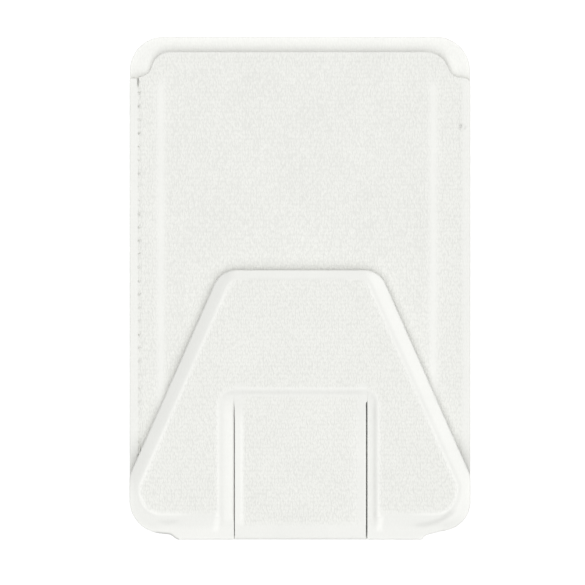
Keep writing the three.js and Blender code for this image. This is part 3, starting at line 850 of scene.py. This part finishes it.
def stand_top(P):
    x, y = P[:, 0], P[:, 1]
    f = signed(P, FIELD)   # positive over the stiffener
    g = signed(P, FRAME)   # positive inside the frame round the tongue
    wob = noise2(P, 7.5, 41) * 0.04 + noise2(P, 2.6, 47) * 0.012
    shade = np.zeros(len(P))
    at_top = smooth(0.2, 1.6, y) * (1 - smooth(12.0, 14.5, np.abs(x)))
    low = smooth(-43.2, -44.6, y) * (1 - smooth(26.5, 29.5, np.abs(x)))
    # margin outside the field: falls away to the rim, less beside the lower left corner
    out = np.maximum(-f, 0)
    ease = 1 - 0.60 * smooth(-36.0, -40.0, y) * (x < 0)
    fall = 0.10 * smooth(0.05, 0.6, out) + 0.64 * ease * (np.minimum(out, 3.6) / 3.0) ** 1.5
    fall = fall * (1 - 0.80 * at_top) * (1 - 0.88 * low)
    z = PLATEAU - fall
    # crest on the field's edge, and a fine pressed line instead along the top edge, darkened with painted shade
    ridge = bell(f, 0.12, 0.42)
    z += 0.045 * ridge * (1 - at_top) * (1 - low)
    press = bell(f, 0.05, 0.26) * at_top * smooth(-11.4, -9.6, x) * (1 - smooth(7.6, 9.4, x))
    z -= 0.055 * press
    shade += 0.13 * press
    # frame round the tongue: it falls to the slits, and less on its upper side
    q = np.maximum(g, 0)
    ends = 1 - smooth(-44.0, -46.6, y)
    body = smooth(-20.2, -24.5, y)
    left = 0.05 * smooth(0.0, 0.45, q) + 0.24 * np.clip(q - 0.75, 0, 2.6)
    right = 0.05 * smooth(0.0, 0.45, q) + 0.44 * smooth(0.35, 1.35, q) + 0.02 * smooth(1.4, 2.2, q)
    z -= np.where(x < 0, left, right) * (0.12 + 0.88 * ends) * (0.06 + 0.94 * body)
    z += 0.045 * bell(g, 0.0, 0.30) * ends * (f > -0.5)
    turn = bell(q, 0.80, 0.33) * (1 - body) * (f > 0)
    z -= 0.10 * turn
    # painted shade in the turn at the top of the frame, on the right frame's slope that faces away from the light, and
    # beside the right slit
    shade += 0.17 * turn * np.where(x < 0, smooth(-15.6, -13.4, x), 1.0)
    shade += 0.20 * bell(q, 0.95, 0.28) * body * ends * (x > 0) * smooth(-27.0, -23.0, y)
    shade += 0.10 * bell(x, 14.45, 0.34) * body * ends
    # gathers where the frame runs out at the bottom
    for cx in (-16.1, 15.45):
        u, v = (x - cx), (y + 45.4)
        z += 0.13 * np.exp(-((u - 0.25 * v) / 0.62) ** 2 - ((v + 0.3) / 1.5) ** 2)
        z += 0.05 * np.exp(-((u + 1.5 + 0.2 * v) / 0.5) ** 2 - (v / 1.4) ** 2)
    # crescent groove in the lower right corner, a short faint one on the left, each darkened with painted shade
    for cx, cy, rad, a0, a1, depth, dark in ((22.4, -34.0, 11.9, -94, -49, 0.26, 0.42), (-25.9, -35.2, 10.15, -101, -76, 0.16, 0.26)):
        ang = np.degrees(np.arctan2(y - cy, x - cx))
        rr = np.hypot(x - cx, y - cy)
        w = smooth(a0 - 3, a0 + 13, ang) * (1 - smooth(a1 - 9, a1 + 4, ang))
        z -= depth * bell(rr, rad, 0.42) * w
        shade += dark * bell(rr, rad, 0.34) * w
    z += wob * smooth(0.4, 2.2, f) * (q <= 0)
    z = np.minimum(z, FLAP_TOP_Z - 0.002)
    grainless = smooth(-42.9, -44.0, y)
    polish = np.clip(smooth(0.40, -0.15, f) + smooth(-0.2, 0.5, g) + grainless, 0, 1)
    # painted highlight along the ridge at the field's edge and round the tongue's frame
    corner = 1 - smooth(25.0, 20.0, np.abs(x)) * smooth(-42.5, -43.4, y)
    painted_highlight = (0.70 + 0.28 * smooth(-18.0, -36.0, y) + 0.08 * (x > 0)) * bell(f, 0.22, 0.36) * (1 - at_top) * (1 - low) * (g < 0.4) * corner
    painted_highlight += 1.0 * bell(g, 0.02, 0.34) * ends * (f > -0.3) * (0.40 + 0.60 * body)
    # painted highlight on the margin slope that faces right, and painted shade on the one that faces left, as the light
    # falls from the right
    painted_highlight += 0.74 * smooth(0.1, 1.2, out) * smooth(0.0, 4.0, x) * (1 - at_top) * (1 - low) * smooth(-46.4, -43.0, y)
    shade += 0.20 * smooth(0.1, 1.0, out) * smooth(0.0, -4.0, x) * (1 - at_top) * (1 - low) * smooth(-41.0, -36.0, y)
    # painted highlight on the rolled rim by the lower corners and along the bottom edge
    rim = signed(P, STAND_FULL)
    painted_highlight += 0.55 * smooth(0.75, 0.2, rim) * smooth(-35.0, -39.0, y) * smooth(24.0, 30.0, np.abs(x))
    painted_highlight += 0.50 * smooth(0.7, 0.2, rim) * smooth(-47.6, -48.2, y)
    # painted shadow along the rim under the lower left S-step
    lip = smooth(0.42, 0.12, rim) * smooth(-28.6, -27.2, x) * (1 - smooth(-23.6, -23.2, x)) * (y < -46.0)
    shade += 0.95 * lip
    # painted highlight on the gathers, along the bottom band (stronger on the left), and on the left frame's slope that
    # faces the light
    for cx in (-16.1, 15.5):
        painted_highlight += 0.80 * np.exp(-((x - cx - 0.15 * (y + 45.4)) / 0.60) ** 4 - ((y + 45.6) / 1.45) ** 4)
    painted_highlight += np.where(x < 0, 0.34, 0.20) * smooth(-45.6, -46.8, y) * (1 - lip)
    painted_highlight += np.where(x < 0, 0.62, 0.0) * smooth(0.9, 1.6, q) * body * ends
    return z, polish, np.clip(painted_highlight, 0, 1), np.clip(shade, 0, 1)


def stand_edge(loop):
    """Radius of the rolled rim: small along the slits."""
    x, y = loop[:, 0], loop[:, 1]
    slit = (x > SLOT_L - 0.25) & (x < SLOT_R + 0.25) & (y < SLOT_TOP + 0.2)
    low = smooth(-45.5, -47.5, y)
    r = np.where(slit, 0.006 + 0.07 * np.where(x < 0, smooth(-22.0, -26.0, y), smooth(-21.8, -22.6, y)), 0.30 + 0.22 * low * (np.abs(x) < 23.0))
    top = (np.abs(y - SLOT_TOP) < 0.15) & (x > SLOT_L - 0.1) & (x < SLOT_R + 0.1)
    return np.where(top, 0.012, r)


def stand_bottom(P):
    f = signed(P, FIELD)
    g = signed(P, FRAME)
    over = smooth(-0.15, 0.05, f) * smooth(0.15, -0.05, g)
    return FLAP_Z0 + (6.1 - FLAP_Z0) * over


stand_features = [dense(FIELD + loop_normals(FIELD) * o, 0.3) for o in (-1.0, -0.6, -0.35, -0.15, 0.0, 0.15, 0.35, 0.6)]
stand_features += [dense(FRAME + loop_normals(FRAME) * o, 0.3) for o in (-0.4, -0.2, 0.0, 0.2, 0.4, 0.8, 1.3, 1.8)]
stand = leather_sheet("stand_leather_skin", STAND, stand_top, stand_bottom, 0.40, edge_fn=stand_edge, features=stand_features, loop_step=0.25, bottom_edge=0.12, coarse=1.2)
dress(stand, mat_flap)
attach(stand, "stand")
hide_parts("stand_leather")

# ------------------------------------------------------------------ tongue
# Path of the tongue's outer face in the Y-Z plane, from the stand's edge of the crease to the rolled bottom edge.
ARC_R = 0.55
ARC_Y, ARC_Z = -48.12, PLATEAU - ARC_R
LEATHER_T = 0.60


def tongue_path():
    pts = []
    y = SLOT_TOP
    while y > ARC_Y:
        pts.append((y, PLATEAU))
        step = 0.16 if y > -22.2 or y < -45.0 else 0.30
        y -= step
    for i in range(0, 13):
        a = math.pi / 2 * i / 12
        pts.append((ARC_Y - ARC_R * math.sin(a), ARC_Z + ARC_R * math.cos(a)))
    for i in range(1, 9):
        t = i / 8
        pts.append((ARC_Y - ARC_R, ARC_Z - 1.50 * t))
    return np.array(pts)


def tongue_relief(x, y, z0):
    """Height above the path, polish, painted highlight and painted shade, for the tongue's outer face."""
    xl, xr = x - TONGUE_L, TONGUE_R - x
    side = min(xl, xr)
    one = lambda v: float(np.clip(v, 0, 1))
    ease = lambda a, b, v: one((v - a) / (b - a)) ** 2 * (3 - 2 * one((v - a) / (b - a)))
    body_ = ease(-22.5, -26.5, y)
    bot = 1 - ease(-44.8, -46.4, y)
    h = -0.06 * (1 - ease(0.5, 1.4, side)) * body_ * bot
    crease = math.exp(-((y - CREASE_Y) / 0.34) ** 2)
    h -= 0.10 * crease
    h += 0.012 * math.exp(-((y + 19.35) / 0.25) ** 2)
    h -= 0.015 * (1 - bot)
    pol = max(1 - ease(0.9, 2.4, side), 1 - bot, 0.8 * (1 - ease(-20.6, -21.6, y)) * ease(-18.9, -19.6, y))
    # painted highlight on the ridges beside the slits, the crease's upper edge and the bottom roll
    ridge_l = math.exp(-(((xl - 1.35) / 0.36) ** 2)) * 0.95 + math.exp(-(((xl - 0.5) / 0.55) ** 2)) * 0.50
    ridge_r = math.exp(-(((xr - 2.30) / 0.85) ** 2)) * 0.36 + math.exp(-((xr / 0.35) ** 2)) * 0.65
    hilite = (ridge_l + ridge_r) * body_ * bot + 0.30 * math.exp(-((y + 19.38) / 0.22) ** 2) + 0.10 * (1 - bot)
    h += 0.03 * math.exp(-(((xl - 1.30) / 0.4) ** 2)) * body_ * bot
    # painted shade in the crease
    sha = 0.20 * math.exp(-((y - CREASE_Y + 0.02) / 0.33) ** 2) * ease(0.0, 2.6, side + 0.9)
    return h, min(1.0, pol), min(1.0, hilite), sha


def tongue_piece(name, path):
    angles_ = [0, 22, 45, 68, 90]
    inner = list(np.linspace(TONGUE_L + 0.3, TONGUE_L + 2.4, 9)) + list(np.linspace(TONGUE_L + 2.8, TONGUE_R - 2.8, 46)) + list(np.linspace(TONGUE_R - 2.4, TONGUE_R - 0.3, 9))

    def section(y):
        """Stations across the tongue at y: above the slits' ends it is a little wider and its edges are sharp."""
        wide_l = float(smooth(-23.6, -21.8, np.array([y]))[0])
        wide_r = float(smooth(-22.4, -21.7, np.array([y]))[0])
        el = TONGUE_L - (TONGUE_L - SLOT_L - 0.004) * (0.35 * float(smooth(-26.5, -23.6, np.array([y]))[0]) + 0.65 * wide_l)
        er = TONGUE_R + (SLOT_R - TONGUE_R - 0.004) * wide_r
        rl, rr = 0.06 * (1 - wide_l) + 0.004, 0.06 * (1 - wide_r) + 0.004
        xs_ = [el + rl * (1 - math.cos(math.radians(a))) for a in angles_] + inner + [er - rr * (1 - math.cos(math.radians(a))) for a in angles_][::-1]
        dr = [rl * (1 - math.sin(math.radians(a))) for a in angles_] + [0] * len(inner) + [rr * (1 - math.sin(math.radians(a))) for a in angles_][::-1]
        return xs_, dr, list(np.linspace(er - 0.05, el + 0.05, 10))

    n_top = len(angles_) * 2 + len(inner)
    tan = np.gradient(path, axis=0)
    tan /= np.linalg.norm(tan, axis=1)[:, None]
    nor = np.stack([tan[:, 1], -tan[:, 0]], 1)  # outward: +Z on the flat, -Y round the bottom
    rings, pol, hilite, sha = [], [], [], []
    for (y, z), n in zip(path, nor):
        if n[1] < 0 and z > PLATEAU - 0.01:
            n = -n
        ring = []
        xs, drop, under_x = section(y)
        for x, d in zip(xs, drop):
            h, p, c, dk = tongue_relief(x, y, z)
            wob = 0.0
            h += -d + wob
            ring.append((x, y + n[0] * h, z + n[1] * h))
            pol.append(p)
            hilite.append(c)
            sha.append(dk)
        for x in under_x:
            ring.append((x, y - n[0] * LEATHER_T, z - n[1] * LEATHER_T))
            pol.append(1.0)
            hilite.append(0.0)
            sha.append(0.0)
        rings.append(ring)
    rings = np.array(rings)
    span = smooth(-45.5, -44.0, rings[:, :n_top, 1]) * smooth(-22.5, -24.5, rings[:, :n_top, 1])
    rings[:, :n_top, 2] += (noise2(rings[:, :n_top, :2].reshape(-1, 2), 7.5, 41) * 0.04).reshape(len(path), n_top) * span
    obj = loft(name, rings, attrs={"polish": pol, "painted_highlight": hilite, "shade": sha})
    return obj


full = tongue_path()
upper = full[full[:, 0] >= TONGUE_SPLIT]
lower = full[full[:, 0] <= upper[-1, 0] + 1e-9]
tongue_upper = tongue_piece("tongue_leather_upper", upper)
tongue_lower = tongue_piece("tongue_leather_lower", lower)
for t in (tongue_upper, tongue_lower):
    dress(t, mat_flap)
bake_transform(tongue_upper)
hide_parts("strut_leather")
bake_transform(tongue_lower)
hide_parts("fold_leather", "strut_leather")


# ------------------------------------------------------------------ rolled bottom edge
def spine():
    """The doubled band along the bottom: full between its ends, where it runs out in an S-curve."""
    xs = np.concatenate([np.linspace(-26.2, -22.4, 20), np.linspace(-22.0, 22.0, 90), np.linspace(22.4, 26.2, 20)])
    rings, pol = [], []
    for x in xs:
        k = 1 - float(smooth(22.9, 25.9, np.array([abs(x)]))[0])
        depth = 0.03 + 1.50 * k + 0.03 * float(noise2(np.array([[x, 3.0]]), 5.0, 61)[0]) * k
        y1 = BODY_BOTTOM - min(depth, 1.50)
        y0 = BODY_BOTTOM + 0.02
        top = 4.60 - 0.25 * (1 - k)
        low = 0.0 + 0.05 * (1 - k)
        R, r2 = min(1.25, 0.8 * (y0 - y1)), min(0.62, 0.42 * (y0 - y1))
        prof = [(y0, low + 0.0)]
        for i in range(0, 9):
            a = math.pi / 2 * i / 8
            prof.append((y1 + R - R * math.sin(a), low + R - R * math.cos(a)))
        prof += [(y1 + 0.0, low + R + (top - r2 - low - R) * t) for t in (0.25, 0.5, 0.75)]
        for i in range(0, 9):
            a = math.pi / 2 * i / 8
            prof.append((y1 + r2 - r2 * math.cos(a), top - r2 + r2 * math.sin(a)))
        prof.append((y0, top))
        rings.append([(x, y, z) for y, z in prof])
        pol += [0.8] * len(prof)
    obj = loft("rolled_edge_leather", np.array(rings), attrs={"polish": pol})
    return obj


edge = spine()
dress(edge, mat_leather_back)
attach(edge, "wallet")
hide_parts("fold_spine")


def finish_node(name, material):
    o = nodes[name]
    o.data.materials.clear()
    o.data.materials.append(material)


for n in ("welt_left", "welt_right", "welt_bottom"):
    finish_node(n, mat_thread)
for n in ("front_lining", "strut_backing", "stand_backing"):
    finish_node(n, mat_lining)
for n in ("back_board", "front_board", "strut_board", "stand_board"):
    finish_node(n, mat_board)
for n in nodes:
    if n.startswith("ring_magnet_") or n in ("alignment_magnet", "flap_magnet_left", "flap_magnet_right"):
        finish_node(n, mat_magnet)
for n in ("ring_shield", "keeper_plate"):
    finish_node(n, mat_steel)

# ------------------------------------------------------------------ stage and light
floor_mat = bpy.data.materials.new("floor")
floor_mat.use_nodes = True
fnt = floor_mat.node_tree
fnt.nodes.clear()
fo = node(fnt, "ShaderNodeOutputMaterial", 400, 0)
fd = node(fnt, "ShaderNodeBsdfDiffuse", 0, 100)
fd.inputs["Color"].default_value = (0.28, 0.28, 0.28, 1)
fe = node(fnt, "ShaderNodeEmission", 0, -100)
fe.inputs["Color"].default_value = (1, 1, 1, 1)
fe.inputs["Strength"].default_value = 0.82
fa = node(fnt, "ShaderNodeAddShader", 200, 0)
fnt.links.new(fd.outputs[0], fa.inputs[0])
fnt.links.new(fe.outputs[0], fa.inputs[1])
fnt.links.new(fa.outputs[0], fo.inputs["Surface"])
fm = bpy.data.meshes.new("floor")
fm.from_pydata([(-3, -3, -0.00002), (3, -3, -0.00002), (3, 3, -0.00002), (-3, 3, -0.00002)], [], [(0, 1, 2, 3)])
floor = bpy.data.objects.new("floor", fm)
floor.data.materials.append(floor_mat)
bpy.context.scene.collection.objects.link(floor)

world = bpy.data.worlds.new("studio")
bpy.context.scene.world = world
world.use_nodes = True
bg = world.node_tree.nodes["Background"]
bg.inputs["Color"].default_value = (1.0, 1.0, 1.0, 1)
bg.inputs["Strength"].default_value = 0.28


def area(name, loc, size, power, target=(0, 0, 0)):
    data = bpy.data.lights.new(name, "AREA")
    data.shape = "RECTANGLE"
    data.size, data.size_y = size
    data.energy = power
    o = bpy.data.objects.new(name, data)
    o.location = loc
    o.rotation_euler = (Vector(target) - Vector(loc)).to_track_quat("-Z", "Y").to_euler()
    bpy.context.scene.collection.objects.link(o)
    return o


area("softbox", (0.07, 0.03, 1.72), (4.6, 4.6), 80.6)

view = bpy.context.scene.view_settings
view.view_transform = "Standard"
view.look = "None"
view.exposure = 0.0
view.gamma = 1.0

bpy.context.view_layer.update()
